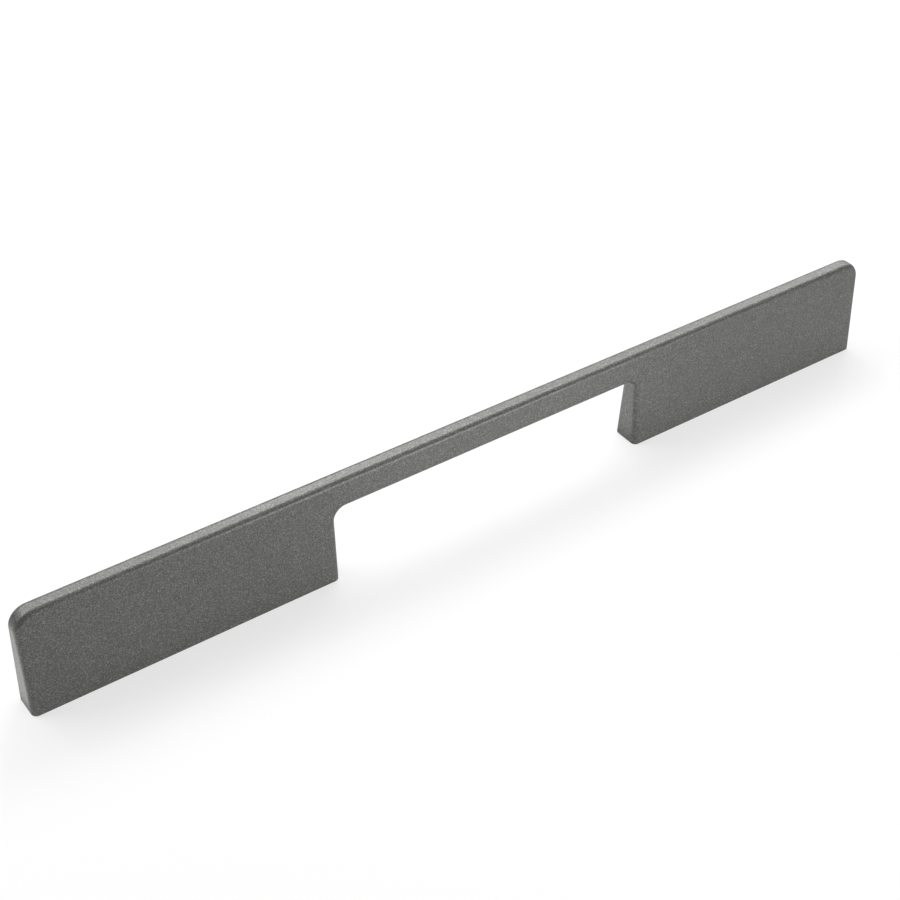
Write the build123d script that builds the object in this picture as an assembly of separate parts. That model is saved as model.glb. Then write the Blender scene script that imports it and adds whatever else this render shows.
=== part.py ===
"""Cabinet handle: a one-piece die-cast bridge pull.

Two long feet stand on the door and a slim bar joins them along the outer edge.
The whole casting is a wedge in section, thick at the door and thin at the outer edge.

Frame, in millimetres: X runs along the handle, Y through its thickness, and +Z points
away from the door. The origin is on the door face, midway between the two screw holes.
"""

import os
from math import radians, tan

from build123d import *

# Driving dimensions
HOLE_SPACING = 160.0  # screw holes, centre to centre
FOOT_LENGTH = 74.4  # each foot along X, with its screw hole in the middle
PROJECTION = 26.5  # door face to outer edge
FOOT_THICKNESS = 7.6  # section thickness at the door face
EDGE_THICKNESS = 4.1  # section thickness at the outer edge
BAR_DEPTH = 7.5  # bar between the feet, measured in from the outer edge

# Corners and edges
OUTER_CORNER_RADIUS = 4.5  # outer corners of the front outline
INNER_CORNER_RADIUS = 3.0  # where the bar runs into the feet
EDGE_ROUND = 1.4  # soft edge round the front and back faces
BASE_EDGE_ROUND = 0.3  # small break round each mounting face

# Blind screw holes for M4 machine screws
TAP_DRILL_DIAMETER = 3.3
HOLE_DEPTH = 12.0  # full-diameter depth
DRILL_POINT_ANGLE = 118.0  # included angle of the hole's pointed end
MOUTH_CHAMFER = 0.4  # 45 degree lead-in at the mouth

# Sizes that follow from those above
LENGTH = HOLE_SPACING + FOOT_LENGTH
GAP_LENGTH = HOLE_SPACING - FOOT_LENGTH
GAP_HEIGHT = PROJECTION - BAR_DEPTH


def wedge_bar():
    """The tapered section, drawn in the YZ plane and run along the full length."""
    section = Polygon(
        (-FOOT_THICKNESS / 2, 0),
        (FOOT_THICKNESS / 2, 0),
        (EDGE_THICKNESS / 2, PROJECTION),
        (-EDGE_THICKNESS / 2, PROJECTION),
        align=None,
    )
    return extrude(Plane.YZ * section, LENGTH / 2, both=True)


def front_outline():
    """The bridge outline seen from the front: outer corners rounded, finger gap cut out."""
    block = Rectangle(LENGTH, PROJECTION, align=(Align.CENTER, Align.MIN))
    block = fillet(block.vertices().group_by(Axis.Y)[-1], OUTER_CORNER_RADIUS)
    gap = Rectangle(GAP_LENGTH, GAP_HEIGHT, align=(Align.CENTER, Align.MIN))
    gap = fillet(gap.vertices().group_by(Axis.Y)[-1], INNER_CORNER_RADIUS)
    return block - gap


def screw_hole():
    """One blind hole, mouth on the door face: tapping drill, pointed end and lead-in chamfer."""
    radius = TAP_DRILL_DIAMETER / 2
    point = radius / tan(radians(DRILL_POINT_ANGLE / 2))
    profile = Polygon(
        (0, 0),
        (radius + MOUTH_CHAMFER, 0),
        (radius, MOUTH_CHAMFER),
        (radius, HOLE_DEPTH),
        (0, HOLE_DEPTH + point),
        align=None,
    )
    return revolve(Plane.XZ * profile, Axis.Z)


def soften(body):
    """Rounds the outline of the front and back faces, then breaks the edge of each mounting face."""
    by_thickness = body.faces().sort_by(Axis.Y)
    outline = by_thickness[0].edges() + by_thickness[-1].edges()
    above_door = [edge for edge in outline if edge.center().Z > BASE_EDGE_ROUND]
    body = fillet(above_door, EDGE_ROUND)
    mounting_faces = body.faces().group_by(Axis.Z)[0]
    return fillet(mounting_faces.edges(), BASE_EDGE_ROUND)


def handle():
    """The finished casting as one solid."""
    bridge = extrude(Plane.XZ * front_outline(), FOOT_THICKNESS, both=True)
    body = soften(wedge_bar() & bridge)
    holes = [Pos(side * HOLE_SPACING / 2, 0, 0) * screw_hole() for side in (-1, 1)]
    return body - holes


def main():
    """Writes the casting to its own STEP file."""
    os.makedirs("parts", exist_ok=True)
    export_step(handle(), "parts/handle.step")


if __name__ == "__main__":
    main()
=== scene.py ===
"""Cabinet handle: the painted casting, its studio floor and lights, and the camera.

Lengths are metres in the part's own frame: X runs along the handle, Y through its thickness,
and +Z points away from the door. The handle stands on its two feet.
"""

from __future__ import annotations

import logging
import math
from dataclasses import dataclass
from enum import Enum, IntEnum
from itertools import islice
from typing import Any, Iterable, Mapping, Sequence

import bpy
from mathutils import Matrix, Vector

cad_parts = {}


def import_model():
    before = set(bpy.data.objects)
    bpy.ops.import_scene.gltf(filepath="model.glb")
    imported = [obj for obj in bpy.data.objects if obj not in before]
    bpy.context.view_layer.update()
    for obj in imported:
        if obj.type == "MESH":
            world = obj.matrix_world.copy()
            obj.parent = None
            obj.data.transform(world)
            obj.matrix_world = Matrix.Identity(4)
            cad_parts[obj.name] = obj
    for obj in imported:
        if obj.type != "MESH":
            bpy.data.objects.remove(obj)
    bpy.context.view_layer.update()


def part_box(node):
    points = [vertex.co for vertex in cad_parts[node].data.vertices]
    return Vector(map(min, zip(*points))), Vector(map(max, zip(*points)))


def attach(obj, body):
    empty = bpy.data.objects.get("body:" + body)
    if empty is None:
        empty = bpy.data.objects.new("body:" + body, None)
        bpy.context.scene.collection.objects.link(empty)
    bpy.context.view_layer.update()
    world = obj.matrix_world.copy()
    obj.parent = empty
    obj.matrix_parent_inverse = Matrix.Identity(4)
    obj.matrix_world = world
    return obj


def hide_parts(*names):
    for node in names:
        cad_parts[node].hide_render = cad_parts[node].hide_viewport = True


LOG = logging.getLogger("cabinet_handle")

MM = 0.001
DOWN = Vector((0.0, 0.0, -1.0))
QUARTER_TURN = math.radians(90.0)
NOISE_MIDDLE = 0.5  # the mean of a noise texture


class Side(IntEnum):
    """The two large faces of the casting, as the sign of Y."""

    FRONT = -1
    BACK = 1


class Foot(IntEnum):
    """The two feet of the casting, as the sign of X."""

    LEFT = -1
    RIGHT = 1


class Bend(IntEnum):
    """How a corner of the outline turns: round the metal, or round the finger gap."""

    OUTER = 1
    INNER = -1


class Surface(IntEnum):
    """The casting's finishes, as material slots of its mesh."""

    PAINT = 0
    BARE = 1


class SocketMath(Enum):
    """The Math node operations that the finishes use."""

    ADD = "ADD"
    SUBTRACT = "SUBTRACT"
    MULTIPLY = "MULTIPLY"
    POWER = "POWER"
    MAXIMUM = "MAXIMUM"


class Socket:
    """A node's output, with Python's operators standing for Math nodes."""

    def __init__(self, graph: ShaderGraph, output: bpy.types.NodeSocket | None) -> None:
        """Wraps one output of a node in a graph.

        Args:
            graph: The graph that holds the node.
            output: The node's output, or None where the node has none.
        """
        self.graph = graph
        self.output = output

    def _math(self, operation: SocketMath, first: Operand, second: Operand) -> Socket:
        """Adds a Math node.

        Args:
            operation: What the node works out.
            first: Its first value or link.
            second: Its second value or link.

        Returns:
            The node's result.
        """
        settings = {"operation": operation.value}
        return self.graph.node("ShaderNodeMath", settings, {0: first, 1: second})

    def __add__(self, other: Operand) -> Socket:
        """This plus other."""
        return self._math(SocketMath.ADD, self, other)

    def __radd__(self, other: Operand) -> Socket:
        """Other plus this."""
        return self._math(SocketMath.ADD, other, self)

    def __sub__(self, other: Operand) -> Socket:
        """This less other."""
        return self._math(SocketMath.SUBTRACT, self, other)

    def __rsub__(self, other: Operand) -> Socket:
        """Other less this."""
        return self._math(SocketMath.SUBTRACT, other, self)

    def __mul__(self, other: Operand) -> Socket:
        """This times other."""
        return self._math(SocketMath.MULTIPLY, self, other)

    def __rmul__(self, other: Operand) -> Socket:
        """Other times this."""
        return self._math(SocketMath.MULTIPLY, other, self)

    def __pow__(self, other: Operand) -> Socket:
        """This to the power of other."""
        return self._math(SocketMath.POWER, self, other)

    def __rpow__(self, other: Operand) -> Socket:
        """Other to the power of this."""
        return self._math(SocketMath.POWER, other, self)

    def __or__(self, other: Operand) -> Socket:
        """The larger of this and other, which joins two masks."""
        return self._math(SocketMath.MAXIMUM, self, other)

    def __ror__(self, other: Operand) -> Socket:
        """The larger of other and this."""
        return self._math(SocketMath.MAXIMUM, other, self)


Operand = Socket | float


class ShaderGraph:
    """One node tree, built up from expressions."""

    def __init__(self, tree: bpy.types.NodeTree) -> None:
        """Starts from an empty tree.

        Args:
            tree: The tree of a material or a world.
        """
        self.tree = tree
        tree.nodes.clear()

    def node(
        self,
        kind: str,
        settings: Mapping[str, Any] | None = None,
        inputs: Mapping[str | int, Any] | None = None,
        output: str | int = 0,
    ) -> Socket:
        """Adds one node.

        Args:
            kind: The node's type.
            settings: Its own settings, which are set first.
            inputs: A value or a link for each named or numbered input.
            output: The output that the result wraps.

        Returns:
            That output.
        """
        made = self.tree.nodes.new(kind)
        for name, value in (settings or {}).items():
            setattr(made, name, value)
        for name, value in (inputs or {}).items():
            if isinstance(value, Socket):
                self.tree.links.new(value.output, made.inputs[name])
            else:
                made.inputs[name].default_value = value
        return Socket(self, made.outputs[output] if made.outputs else None)

    def mix_colours(self, share: Operand, first: Any, second: Any) -> Socket:
        """Mixes two colours.

        Args:
            share: 0 for the first colour, 1 for the second.
            first: A colour or a link.
            second: A colour or a link.

        Returns:
            The mixed colour.
        """
        slots = {"factor": 0, "first": 6, "second": 7, "result": 2}
        inputs = {slots["factor"]: share, slots["first"]: first, slots["second"]: second}
        return self.node("ShaderNodeMix", {"data_type": "RGBA"}, inputs, slots["result"])


def new_material(name: str) -> tuple[bpy.types.Material, ShaderGraph]:
    """Makes an empty material.

    Args:
        name: Its name.

    Returns:
        The material and its graph.
    """
    material = bpy.data.materials.new(name)
    material.use_nodes = True
    return material, ShaderGraph(material.node_tree)


@dataclass(frozen=True)
class GraphitePaint:
    """Graphite metallic paint: fine bright flakes in a dark film, under a thin satin lacquer."""

    dark: tuple[float, float, float, float] = (0.082, 0.082, 0.078, 1.0)
    light: tuple[float, float, float, float] = (0.237, 0.237, 0.226, 1.0)
    flake_size: float = 0.17 * MM
    flake_contrast: float = 3.0
    flake_share: float = 0.85
    mottle_size: float = 0.9 * MM
    mottle_detail: float = 3.0
    metallic: float = 1.0
    roughness: float = 0.60
    roughness_spread: float = 0.10
    lacquer: float = 0.33
    lacquer_roughness: float = 0.30
    film_ripple: float = 0.012 * MM
    ripple_strength: float = 0.25

    def build(self) -> bpy.types.Material:
        """Makes the paint.

        Returns:
            The material.
        """
        material, graph = new_material("graphite_flake")
        place = graph.node("ShaderNodeTexCoord", output="Object")
        cells = {"Vector": place, "Scale": 1 / self.flake_size}
        flakes = graph.node("ShaderNodeTexVoronoi", inputs=cells, output="Color")
        flake = graph.node("ShaderNodeSeparateColor", inputs={0: flakes}) ** self.flake_contrast
        clouds = {"Vector": place, "Scale": 1 / self.mottle_size, "Detail": self.mottle_detail}
        mottle = graph.node("ShaderNodeTexNoise", inputs=clouds)
        tone = self.flake_share * flake + (1 - self.flake_share) * mottle
        ripple = {"Height": tone, "Strength": self.ripple_strength, "Distance": self.film_ripple}
        shine = {
            "Base Color": graph.mix_colours(tone, self.dark, self.light),
            "Metallic": self.metallic,
            "Roughness": self.roughness + self.roughness_spread * (mottle - NOISE_MIDDLE),
            "Normal": graph.node("ShaderNodeBump", inputs=ripple),
            "Coat Weight": self.lacquer,
            "Coat Roughness": self.lacquer_roughness,
        }
        paint = graph.node("ShaderNodeBsdfPrincipled", inputs=shine)
        graph.node("ShaderNodeOutputMaterial", inputs={"Surface": paint})
        return material


@dataclass(frozen=True)
class BareZinc:
    """Freshly cut zinc alloy, as a tap leaves it in a screw hole."""

    dull: tuple[float, float, float, float] = (0.42, 0.43, 0.44, 1.0)
    bright: tuple[float, float, float, float] = (0.60, 0.61, 0.62, 1.0)
    grain_size: float = 0.15 * MM
    grain_detail: float = 2.0
    metallic: float = 1.0
    roughness: float = 0.35
    roughness_spread: float = 0.20

    def build(self) -> bpy.types.Material:
        """Makes the bare metal.

        Returns:
            The material.
        """
        material, graph = new_material("bare_zinc")
        place = graph.node("ShaderNodeTexCoord", output="Object")
        grain = {"Vector": place, "Scale": 1 / self.grain_size, "Detail": self.grain_detail}
        tone = graph.node("ShaderNodeTexNoise", inputs=grain)
        shine = {
            "Base Color": graph.mix_colours(tone, self.dull, self.bright),
            "Metallic": self.metallic,
            "Roughness": self.roughness + self.roughness_spread * (tone - NOISE_MIDDLE),
        }
        metal = graph.node("ShaderNodeBsdfPrincipled", inputs=shine)
        graph.node("ShaderNodeOutputMaterial", inputs={"Surface": metal})
        return material


class MeshMaker:
    """Collects the vertices, normals and faces of one piece."""

    def __init__(self) -> None:
        """Starts with nothing."""
        self.places: list[Vector] = []
        self.normals: list[Vector] = []
        self.faces: list[list[int]] = []
        self.surfaces: list[Surface] = []

    def vertex(self, place: Vector, normal: Vector) -> int:
        """Adds a vertex.

        Args:
            place: Where it is.
            normal: Which way the surface faces there.

        Returns:
            Its number.
        """
        self.places.append(place)
        self.normals.append(normal)
        return len(self.places) - 1

    def face(self, corners: Sequence[int], surface: Surface = Surface.PAINT) -> None:
        """Adds a face, turned to the side that its corners' normals point to.

        Args:
            corners: The vertices round it, either way round.
            surface: Its finish.
        """
        across = Vector()
        for here, there in zip(corners, [*corners[1:], corners[0]]):
            across += self.places[here].cross(self.places[there])
        outward = sum((self.normals[corner] for corner in corners), Vector())
        self.faces.append(list(corners if across.dot(outward) > 0 else reversed(corners)))
        self.surfaces.append(surface)

    def strip(
        self, rows: Sequence[Sequence[int]], closed: bool, surface: Surface = Surface.PAINT
    ) -> None:
        """Joins each row of vertices to the next with four-sided faces.

        Args:
            rows: Rows of as many vertices each.
            closed: Whether the last vertex of a row meets its first.
            surface: The finish of the faces.
        """
        for row, following in zip(rows, rows[1:]):
            for here in range(len(row) if closed else len(row) - 1):
                there = (here + 1) % len(row)
                self.face([row[here], row[there], following[there], following[here]], surface)

    def build(self, name: str, sharp_angle: float) -> bpy.types.Object:
        """Makes the piece. Painted faces take the exact normals, and cut ones Blender's own.

        Args:
            name: The piece's name.
            sharp_angle: The angle between faces that leaves an edge crisp.

        Returns:
            The object, in the scene.
        """
        mesh = bpy.data.meshes.new(name)
        mesh.from_pydata(self.places, [], self.faces)
        mesh.polygons.foreach_set("material_index", self.surfaces)
        mesh.set_sharp_from_angle(angle=sharp_angle)
        given = []
        for corners, surface in zip(self.faces, self.surfaces):
            exact = surface is Surface.PAINT
            given.extend(self.normals[corner] if exact else Vector() for corner in corners)
        mesh.normals_split_custom_set(given)
        piece = bpy.data.objects.new(name, mesh)
        bpy.context.scene.collection.objects.link(piece)
        return piece


@dataclass(frozen=True)
class OutlinePoint:
    """A point of the casting's front outline, in the XZ plane."""

    place: Vector
    outward: Vector


@dataclass(frozen=True)
class BaseContact:
    """Where the small round at a foot's base meets the casting's side.

    The round is a ball rolled along the base: centre is the ball's middle, and outward the
    side's normal where the ball touches it.
    """

    centre: Vector
    outward: Vector


@dataclass(frozen=True)
class FootRim:
    """The vertices where a foot's base meets its sides, in one turn round the foot."""

    outer: list[int]
    back: list[int]
    inner: list[int]
    front: list[int]


@dataclass(frozen=True)
class TappedHole:
    """One blind hole: lead-in chamfer, right-hand metric thread, plain drill end and drill point."""

    drill_radius: float = 1.65 * MM
    thread_radius: float = 2.0 * MM
    pitch: float = 0.7 * MM
    root_flat: float = 1 / 8  # share of the pitch that is flat at the root of the groove
    root_turn: float = 0.5  # share of a turn at which the root lies
    mouth_chamfer: float = 0.4 * MM
    thread_depth: float = 9.5 * MM
    drill_depth: float = 12.0 * MM
    point_angle: float = math.radians(118.0)
    flank_angle: float = math.radians(30.0)
    steps_round: int = 40
    steps_per_turn: int = 14

    @property
    def mouth_radius(self) -> float:
        """The radius at the mounting face."""
        return self.drill_radius + self.mouth_chamfer

    def radius(self, angle: float, depth: float) -> float:
        """The hole's radius at one place on its wall.

        Args:
            angle: The angle round the hole, from +X towards +Y.
            depth: The depth below the mounting face.

        Returns:
            The radius.
        """
        turn = (depth / self.pitch - angle / math.tau) % 1.0
        from_root = self.pitch * max(0.0, abs(turn - self.root_turn) - self.root_flat / 2)
        run_out = min(1.0, max(0.0, (depth - self.thread_depth) / self.pitch))
        root = self.thread_radius + (self.drill_radius - self.thread_radius) * run_out
        groove = root - from_root / math.tan(self.flank_angle)
        return max(self.drill_radius, groove, self.mouth_radius - depth)

    def depths(self) -> list[float]:
        """Where the rows of vertices lie.

        Returns:
            Their depths, from the mouth to the end of the drill.
        """
        threaded = self.thread_depth + self.pitch
        rows = round(threaded / self.pitch * self.steps_per_turn)
        return [threaded * row / rows for row in range(rows + 1)] + [self.drill_depth]

    def cut(self, mesh: MeshMaker, foot: Foot, axis: Vector) -> list[int]:
        """Builds the hole's wall.

        Args:
            mesh: The piece that has the hole.
            foot: The foot that it is in. The rows start on the foot's outer side.
            axis: The middle of the hole's mouth.

        Returns:
            The vertices round the mouth.
        """
        rings = []
        for depth in self.depths():
            ring = []
            for step in range(self.steps_round):
                turn = math.tau * step / self.steps_round
                out = Vector((foot * math.cos(turn), math.sin(turn), 0.0))
                radius = self.radius(math.atan2(out.y, out.x), depth)
                facing = DOWN if depth == 0.0 else -out
                ring.append(mesh.vertex(axis + radius * out - depth * DOWN, facing))
            rings.append(ring)
        mesh.strip(rings, closed=True, surface=Surface.BARE)
        point = self.drill_depth + self.drill_radius / math.tan(self.point_angle / 2)
        tip = mesh.vertex(axis - point * DOWN, DOWN)
        last = rings[-1]
        for here, there in zip(last, [*last[1:], last[0]]):
            mesh.face([here, there, tip], Surface.BARE)
        return rings[0]


@dataclass
class HandleCasting:
    """The one-piece casting: two feet and a bar, a wedge in section, with every edge rounded."""

    length: float
    projection: float
    hole_spacing: float = 160.0 * MM
    foot_thickness: float = 7.6 * MM
    edge_thickness: float = 4.1 * MM
    bar_depth: float = 7.5 * MM
    outer_corner: float = 4.5 * MM
    inner_corner: float = 3.0 * MM
    edge_round: float = 1.4 * MM
    base_round: float = 0.3 * MM
    hole: TappedHole = TappedHole()
    round_steps: int = 14
    corner_steps: int = 20
    base_steps: int = 5
    straight_step: float = 4.0 * MM
    sharp_angle: float = math.radians(35.0)

    @classmethod
    def from_box(cls, low: Vector, high: Vector) -> HandleCasting:
        """Takes the overall size from the frame.

        Args:
            low: The lowest corner of the CAD part.
            high: Its highest corner.

        Returns:
            The casting.
        """
        return cls(length=high.x - low.x, projection=high.z - low.z)

    @property
    def foot_length(self) -> float:
        """The length of each foot, with its screw hole in the middle."""
        return self.length - self.hole_spacing

    @property
    def gap_end(self) -> float:
        """The X of the finger gap's right end."""
        return (self.hole_spacing - self.foot_length) / 2

    @property
    def gap_height(self) -> float:
        """The height of the finger gap above the door."""
        return self.projection - self.bar_depth

    @property
    def draft(self) -> float:
        """The angle by which the front and back faces lean in."""
        return math.atan2(self.foot_thickness - self.edge_thickness, 2 * self.projection)

    def face_normal(self, side: Side) -> Vector:
        """The outward normal of the front or back face."""
        return Vector((0.0, side * math.cos(self.draft), math.sin(self.draft)))

    def ball_reach(self, height: float) -> float:
        """The distance from the mid-plane of a ball that rolls the edge rounds.

        Args:
            height: The height of the ball's middle.

        Returns:
            The distance along Y.
        """
        lean = self.edge_round + height * math.sin(self.draft)
        return self.foot_thickness / 2 - lean / math.cos(self.draft)

    def run(self, start: Vector, end: Vector, outward: Vector) -> list[OutlinePoint]:
        """A straight stretch of the outline, in short steps.

        Args:
            start: Where it starts.
            end: Where it ends.
            outward: The direction away from the metal.

        Returns:
            Its points, with both ends.
        """
        steps = max(1, round((end - start).length / self.straight_step))
        return [OutlinePoint(start.lerp(end, step / steps), outward) for step in range(steps + 1)]

    def corner(self, centre: Vector, radius: float, start: float, bend: Bend) -> list[OutlinePoint]:
        """A quarter turn of the outline, clockwise seen from the front.

        Args:
            centre: The middle of the arc.
            radius: Its radius.
            start: The angle at which it starts, from +X towards +Z.
            bend: Whether the metal or the gap is inside the arc.

        Returns:
            The points between its ends.
        """
        points = []
        for step in range(1, self.corner_steps):
            angle = start - QUARTER_TURN * step / self.corner_steps
            out = Vector((math.cos(angle), 0.0, math.sin(angle)))
            points.append(OutlinePoint(centre + radius * out, bend * out))
        return points

    def arch(self, end: float, height: float, radius: float, bend: Bend) -> list[OutlinePoint]:
        """An arch of the outline: up one wall, along, and down the other.

        Args:
            end: The X of its right wall.
            height: Its height.
            radius: The radius of its two corners.
            bend: Whether the metal is inside or outside it.

        Returns:
            Its points, from the left wall's base to the right wall's.
        """
        right = Vector((1.0, 0.0, 0.0))
        up = Vector((0.0, 0.0, 1.0))
        shoulder = height - radius
        flat = end - radius
        return [
            *self.run(-end * right, shoulder * up - end * right, -bend * right),
            *self.corner(shoulder * up - flat * right, radius, 2 * QUARTER_TURN, bend),
            *self.run(height * up - flat * right, height * up + flat * right, bend * up),
            *self.corner(shoulder * up + flat * right, radius, QUARTER_TURN, bend),
            *self.run(shoulder * up + end * right, end * right, bend * right),
        ]

    def round_normals(self, outward: Vector, side: Side) -> list[Vector]:
        """The normals across an edge round, from the front or back face to the wall.

        Args:
            outward: The wall's normal.
            side: The face.

        Returns:
            The normals, with both ends.
        """
        face = self.face_normal(side)
        return [face.slerp(outward, step / self.round_steps) for step in range(self.round_steps + 1)]

    def section(self, mesh: MeshMaker, point: OutlinePoint) -> list[int]:
        """A row of vertices across the wall and both its edge rounds, front to back.

        Args:
            mesh: The piece.
            point: The place on the outline.

        Returns:
            The row.
        """
        rows: dict[Side, list[int]] = {}
        for side in Side:
            middle = point.place - self.edge_round * point.outward
            middle.y = side * self.ball_reach(middle.z)
            rows[side] = [
                mesh.vertex(middle + self.edge_round * normal, normal)
                for normal in self.round_normals(point.outward, side)
            ]
        centre = mesh.vertex(point.place.copy(), point.outward)
        return [*rows[Side.FRONT], centre, *reversed(rows[Side.BACK])]

    def base_contact(self, x: float, inset: float, side: Side, normal: Vector) -> BaseContact:
        """Where the base round touches an edge round, or the face beside it.

        Args:
            x: The X of the wall, or of a place on the face.
            inset: How far the edge round's middle lies from there along X.
            side: The face.
            normal: The normal at the contact.

        Returns:
            The contact.
        """
        spare = self.edge_round - self.base_round
        height = self.base_round - spare * normal.z
        middle = Vector((x + inset, side * self.ball_reach(height), height))
        return BaseContact(middle + spare * normal, normal)

    def wall_base(self, point: OutlinePoint) -> list[BaseContact]:
        """The base contacts across an upright wall, front to back.

        Args:
            point: The foot of the wall, on the outline.

        Returns:
            The contacts, in the order of a section's vertices.
        """
        wall = point.place.x
        inset = -self.edge_round * point.outward.x
        contacts = {
            side: [
                self.base_contact(wall, inset, side, normal)
                for normal in self.round_normals(point.outward, side)
            ]
            for side in Side
        }
        middle = point.place - self.base_round * (point.outward + DOWN)
        centre = BaseContact(middle, point.outward)
        return [*contacts[Side.FRONT], centre, *reversed(contacts[Side.BACK])]

    def face_base(self, start: float, end: float, side: Side) -> list[BaseContact]:
        """The base contacts along the front or back of a foot, between its two walls.

        Args:
            start: The X of the contact before the first.
            end: The X of the contact after the last.
            side: The face.

        Returns:
            The contacts between those two.
        """
        steps = max(1, round(abs(end - start) / self.straight_step))
        normal = self.face_normal(side)
        places = [start + (end - start) * step / steps for step in range(1, steps)]
        return [self.base_contact(x, 0.0, side, normal) for x in places]

    def build_foot(
        self, mesh: MeshMaker, foot: Foot, outer: OutlinePoint, inner: OutlinePoint
    ) -> FootRim:
        """Builds a foot's base: the small round about it, its mounting face and its hole.

        Args:
            mesh: The piece.
            foot: Which foot.
            outer: The foot of its end wall.
            inner: The foot of its wall in the finger gap.

        Returns:
            The vertices where the base meets the outer wall, back, inner wall and front.
        """
        ends = [point.place.x - self.edge_round * point.outward.x for point in (outer, inner)]
        wall = self.wall_base(outer)
        back = self.face_base(*ends, Side.BACK)
        gap_wall = self.wall_base(inner)[::-1]
        front = self.face_base(*reversed(ends), Side.FRONT)
        contacts = [*wall, *back, *gap_wall, *front]
        rings = []
        for step in range(self.base_steps + 1):
            ring = []
            for contact in contacts:
                normal = contact.outward.slerp(DOWN, step / self.base_steps)
                ring.append(mesh.vertex(contact.centre + self.base_round * normal, normal))
            rings.append(ring)
        mesh.strip(rings, closed=True)
        self.build_mounting_face(mesh, foot, rings[-1], len(wall), len(back))
        rim = iter(rings[0])
        return FootRim(*(list(islice(rim, len(side))) for side in (wall, back, gap_wall, front)))

    def build_mounting_face(
        self, mesh: MeshMaker, foot: Foot, rim: list[int], wall: int, back: int
    ) -> None:
        """Builds a foot's flat mounting face in two halves, round its screw hole.

        Args:
            mesh: The piece.
            foot: Which foot.
            rim: The vertices round the face, from the front of its outer wall.
            wall: How many of them are along a wall.
            back: How many of them are along the back.
        """
        axis = Vector((foot * self.hole_spacing / 2, 0.0, 0.0))
        mouth = self.hole.cut(mesh, foot, axis)
        half = len(mouth) // 2
        outer = wall // 2
        inner = wall + back + wall // 2
        mesh.face([*rim[outer : inner + 1], *mouth[half::-1]])
        mesh.face([*rim[inner:], *rim[: outer + 1], mouth[0], *mouth[:half:-1], mouth[half]])

    def build(self, name: str) -> bpy.types.Object:
        """Builds the whole casting.

        Args:
            name: The piece's name.

        Returns:
            The object.
        """
        mesh = MeshMaker()
        outside = self.arch(self.length / 2, self.projection, self.outer_corner, Bend.OUTER)
        inside = self.arch(self.gap_end, self.gap_height, self.inner_corner, Bend.INNER)
        left = self.build_foot(mesh, Foot.LEFT, outside[0], inside[0])
        right = self.build_foot(mesh, Foot.RIGHT, outside[-1], inside[-1])
        outer_rows = [self.section(mesh, point) for point in outside[1:-1]]
        inner_rows = [self.section(mesh, point) for point in inside[1:-1]]
        outer_rows = [left.outer, *outer_rows, right.outer]
        inner_rows = [left.inner[::-1], *inner_rows, right.inner[::-1]]
        mesh.strip(outer_rows, closed=False)
        mesh.strip(inner_rows, closed=False)
        front_gap = [row[0] for row in reversed(inner_rows)]
        mesh.face([*(row[0] for row in outer_rows), *right.front[::-1], *front_gap, *left.front])
        back_gap = [row[-1] for row in reversed(inner_rows)]
        mesh.face([*(row[-1] for row in outer_rows), *right.back, *back_gap, *left.back[::-1]])
        return mesh.build(name, self.sharp_angle)

    def dress(self, piece: bpy.types.Object, finishes: Iterable[GraphitePaint | BareZinc]) -> None:
        """Gives the casting its finishes and its place on the CAD part.

        Args:
            piece: The casting's object.
            finishes: A finish for each surface, in their order.
        """
        for finish in finishes:
            piece.data.materials.append(finish.build())
        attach(piece, "root")
        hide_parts("handle")


def direction(azimuth: float, elevation: float) -> Vector:
    """The direction towards a place round the handle.

    Args:
        azimuth: Degrees round the handle, 0 in front of it and 90 at its right end.
        elevation: Degrees above the floor.

    Returns:
        A unit vector.
    """
    turn = math.radians(azimuth)
    rise = math.radians(elevation)
    flat = math.cos(rise)
    return Vector((flat * math.sin(turn), -flat * math.cos(turn), math.sin(rise)))


def area_light(name: str, width: float, height: float, power: float) -> bpy.types.Object:
    """Adds a rectangular light that the camera doesn't see.

    Args:
        name: Its name.
        width: Its width.
        height: Its height.
        power: Its power in watts.

    Returns:
        The light's object.
    """
    lamp = bpy.data.lights.new(name, "AREA")
    lamp.shape = "RECTANGLE"
    lamp.size = width
    lamp.size_y = height
    lamp.energy = power
    light = bpy.data.objects.new(name, lamp)
    light.visible_camera = False
    bpy.context.scene.collection.objects.link(light)
    return light


@dataclass(frozen=True)
class SoftBox:
    """A soft studio light, aimed at the handle. Its angles are degrees."""

    name: str
    azimuth: float
    elevation: float
    power: float
    distance: float = 0.50
    width: float = 0.30
    height: float = 0.20

    def build(self, target: Vector) -> bpy.types.Object:
        """Sets up the light.

        Args:
            target: What it points at.

        Returns:
            The light's object.
        """
        light = area_light(self.name, self.width, self.height, self.power)
        away = direction(self.azimuth, self.elevation)
        light.location = target + self.distance * away
        light.rotation_euler = away.to_track_quat("Z", "Y").to_euler()
        return light


@dataclass(frozen=True)
class FloorCard:
    """A small lit card on the floor, facing up, for one face of the handle to mirror."""

    name: str
    x: float
    y: float
    power: float
    width: float = 40.0 * MM
    depth: float = 40.0 * MM
    lift: float = 0.5 * MM

    def build(self) -> bpy.types.Object:
        """Lays the card down.

        Returns:
            The light's object.
        """
        light = area_light(self.name, self.width, self.depth, self.power)
        light.location = Vector((self.x, self.y, self.lift))
        light.rotation_euler.x = math.pi
        return light


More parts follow.
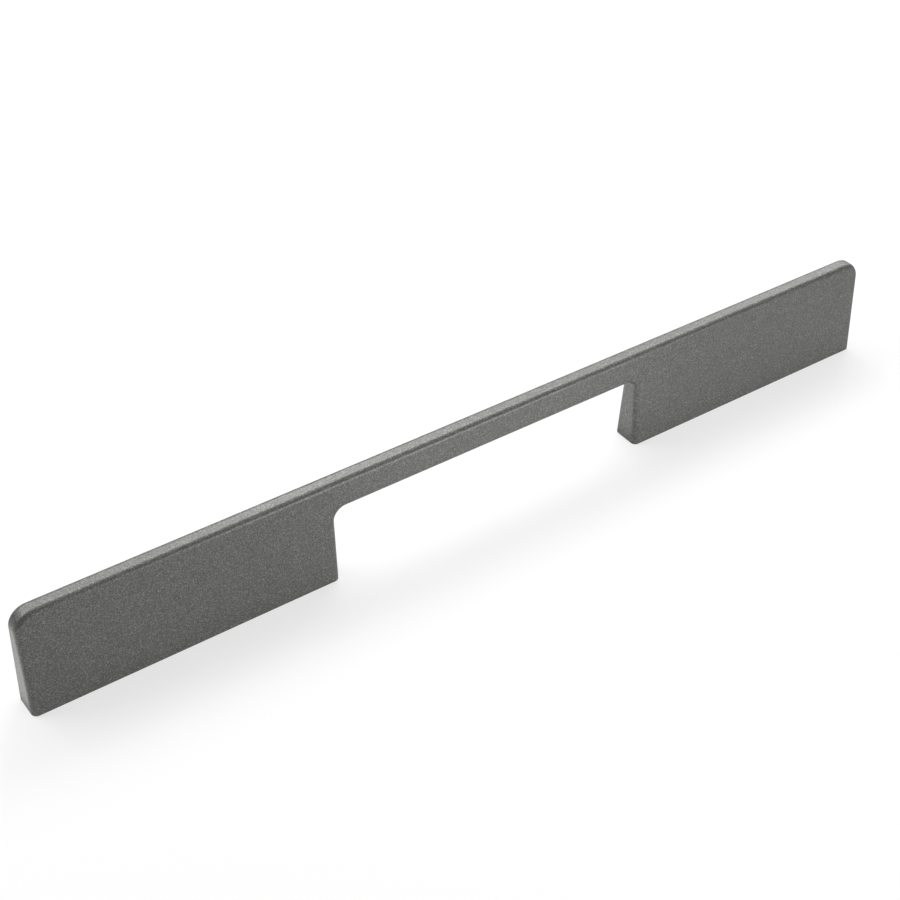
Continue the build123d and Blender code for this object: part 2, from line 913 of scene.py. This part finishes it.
@dataclass(frozen=True)
class PaleFloor:
    """A white paper floor. It looks nearly even, and still takes the handle's shadow.

    Where it is seen, glow is its own light, and shade is the share of the studio's light and of
    the handle's shadow that shows on it.
    """

    size: float = 60.0
    colour: tuple[float, float, float, float] = (0.8, 0.8, 0.8, 1.0)
    glow: float = 0.68
    shade: float = 0.28

    def build(self) -> bpy.types.Object:
        """Lays the floor under the handle's feet.

        Returns:
            The floor's object.
        """
        reach = self.size / 2
        corners = [(-reach, -reach, 0), (reach, -reach, 0), (reach, reach, 0), (-reach, reach, 0)]
        mesh = bpy.data.meshes.new("floor")
        mesh.from_pydata(corners, [], [(0, 1, 2, 3)])
        mesh.materials.append(self.paper())
        floor = bpy.data.objects.new("floor", mesh)
        bpy.context.scene.collection.objects.link(floor)
        return floor

    def paper(self) -> bpy.types.Material:
        """Makes the paper: plain where it lights the handle, and evened out where it is seen.

        Returns:
            The material.
        """
        material, graph = new_material("floor_paper")
        seen = (
            graph.node("ShaderNodeLightPath", output="Is Camera Ray")
            | graph.node("ShaderNodeLightPath", output="Is Glossy Ray")
            | graph.node("ShaderNodeLightPath", output="Is Transmission Ray")
        )
        faded = tuple(self.shade * part for part in self.colour[:3])
        plain = graph.node("ShaderNodeBsdfDiffuse", inputs={"Color": self.colour})
        shaded = graph.node("ShaderNodeBsdfDiffuse", inputs={"Color": (*faded, 1.0)})
        glow = graph.node("ShaderNodeEmission", inputs={"Strength": self.glow})
        even = graph.node("ShaderNodeAddShader", inputs={0: shaded, 1: glow})
        paper = graph.node("ShaderNodeMixShader", inputs={0: seen, 1: plain, 2: even})
        graph.node("ShaderNodeOutputMaterial", inputs={"Surface": paper})
        return material


@dataclass(frozen=True)
class Studio:
    """A pale floor, a plain surrounding light, a few soft boxes and a few floor cards."""

    boxes: tuple[SoftBox, ...]
    cards: tuple[FloorCard, ...]
    floor: PaleFloor = PaleFloor()
    surround: float = 0.39

    def build(self, target: Vector) -> None:
        """Sets up the floor, the surrounding light, the soft boxes and the cards.

        Args:
            target: What the soft boxes point at.
        """
        floor = self.floor.build()
        LOG.info("stage %s", floor.name)
        self.build_surround()
        lights = [box.build(target) for box in self.boxes] + [card.build() for card in self.cards]
        for light in lights:
            LOG.info("light %s", light.name)

    def build_surround(self) -> None:
        """Fills the room with an even light."""
        world = bpy.data.worlds.new("surround")
        world.use_nodes = True
        graph = ShaderGraph(world.node_tree)
        even = {"Color": (1.0, 1.0, 1.0, 1.0), "Strength": self.surround}
        light = graph.node("ShaderNodeBackground", inputs=even)
        graph.node("ShaderNodeOutputWorld", inputs={"Surface": light})
        bpy.context.scene.world = world


@dataclass(frozen=True)
class PhotoCamera:
    """The camera, solved from the handle's outline.

    Its angles are degrees, and its lens and sensor are millimetres.
    """

    lens: float = 69.815
    sensor: float = 36.0
    azimuth: float = -35.739
    elevation: float = 38.523
    roll: float = 0.92
    distance: float = 413.90 * MM
    slide_right: float = -8.294 * MM
    slide_up: float = 12.124 * MM
    nearest: float = 0.01
    farthest: float = 100.0

    def build(self) -> bpy.types.Object:
        """Sets up the camera.

        Returns:
            The camera's object.
        """
        back = direction(self.azimuth, self.elevation)
        turn = math.radians(self.azimuth)
        level = Vector((math.cos(turn), math.sin(turn), 0.0))
        tilt = Matrix.Rotation(math.radians(self.roll), 3, back)
        right = tilt @ level
        up = back.cross(right)
        data = bpy.data.cameras.new("camera")
        data.sensor_width = self.sensor
        data.lens = self.lens
        data.clip_start = self.nearest
        data.clip_end = self.farthest
        camera = bpy.data.objects.new("camera", data)
        place = self.slide_right * right + self.slide_up * up + self.distance * back
        turned = Matrix((right, up, back)).transposed().to_4x4()
        camera.matrix_world = Matrix.Translation(place) @ turned
        bpy.context.scene.collection.objects.link(camera)
        bpy.context.scene.camera = camera
        return camera


STUDIO = Studio(
    boxes=(
        SoftBox("back_right_box", azimuth=140.0, elevation=50.0, power=1.24),
        SoftBox("back_box", azimuth=170.0, elevation=50.0, power=0.72),
        SoftBox("back_left_box", azimuth=-130.0, elevation=50.0, power=1.55),
        SoftBox("right_box", azimuth=110.0, elevation=30.0, power=0.80),
        SoftBox(
            "front_box",
            azimuth=21.0,
            elevation=12.0,
            power=0.45,
            distance=0.30,
            width=0.16,
            height=0.05,
        ),
    ),
    cards=(
        FloorCard("left_end_card", x=-138.0 * MM, y=20.0 * MM, power=0.0038),
        FloorCard("gap_card", x=20.0 * MM, y=20.0 * MM, power=0.0039),
        FloorCard(
            "bar_card",
            x=19.0 * MM,
            y=-35.0 * MM,
            power=0.0056,
            width=86.0 * MM,
            depth=30.0 * MM,
        ),
        FloorCard(
            "left_foot_card",
            x=-60.0 * MM,
            y=-25.0 * MM,
            power=0.0011,
            width=90.0 * MM,
            depth=36.0 * MM,
        ),
        FloorCard(
            "right_foot_card",
            x=100.0 * MM,
            y=-25.0 * MM,
            power=0.0011,
            width=90.0 * MM,
            depth=36.0 * MM,
        ),
    ),
)


def main() -> None:
    """Builds the handle, its studio and its camera round the CAD part."""
    logging.basicConfig(level=logging.INFO, format="%(name)s: %(message)s")
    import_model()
    bpy.context.scene.view_settings.view_transform = "Standard"
    low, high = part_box("handle")
    casting = HandleCasting.from_box(low, high)
    piece = casting.build("handle_casting")
    casting.dress(piece, (GraphitePaint(), BareZinc()))
    LOG.info("piece %s, %d faces", piece.name, len(piece.data.polygons))
    STUDIO.build(target=(low + high) / 2)
    PhotoCamera().build()


if __name__ == "__main__":
    main()
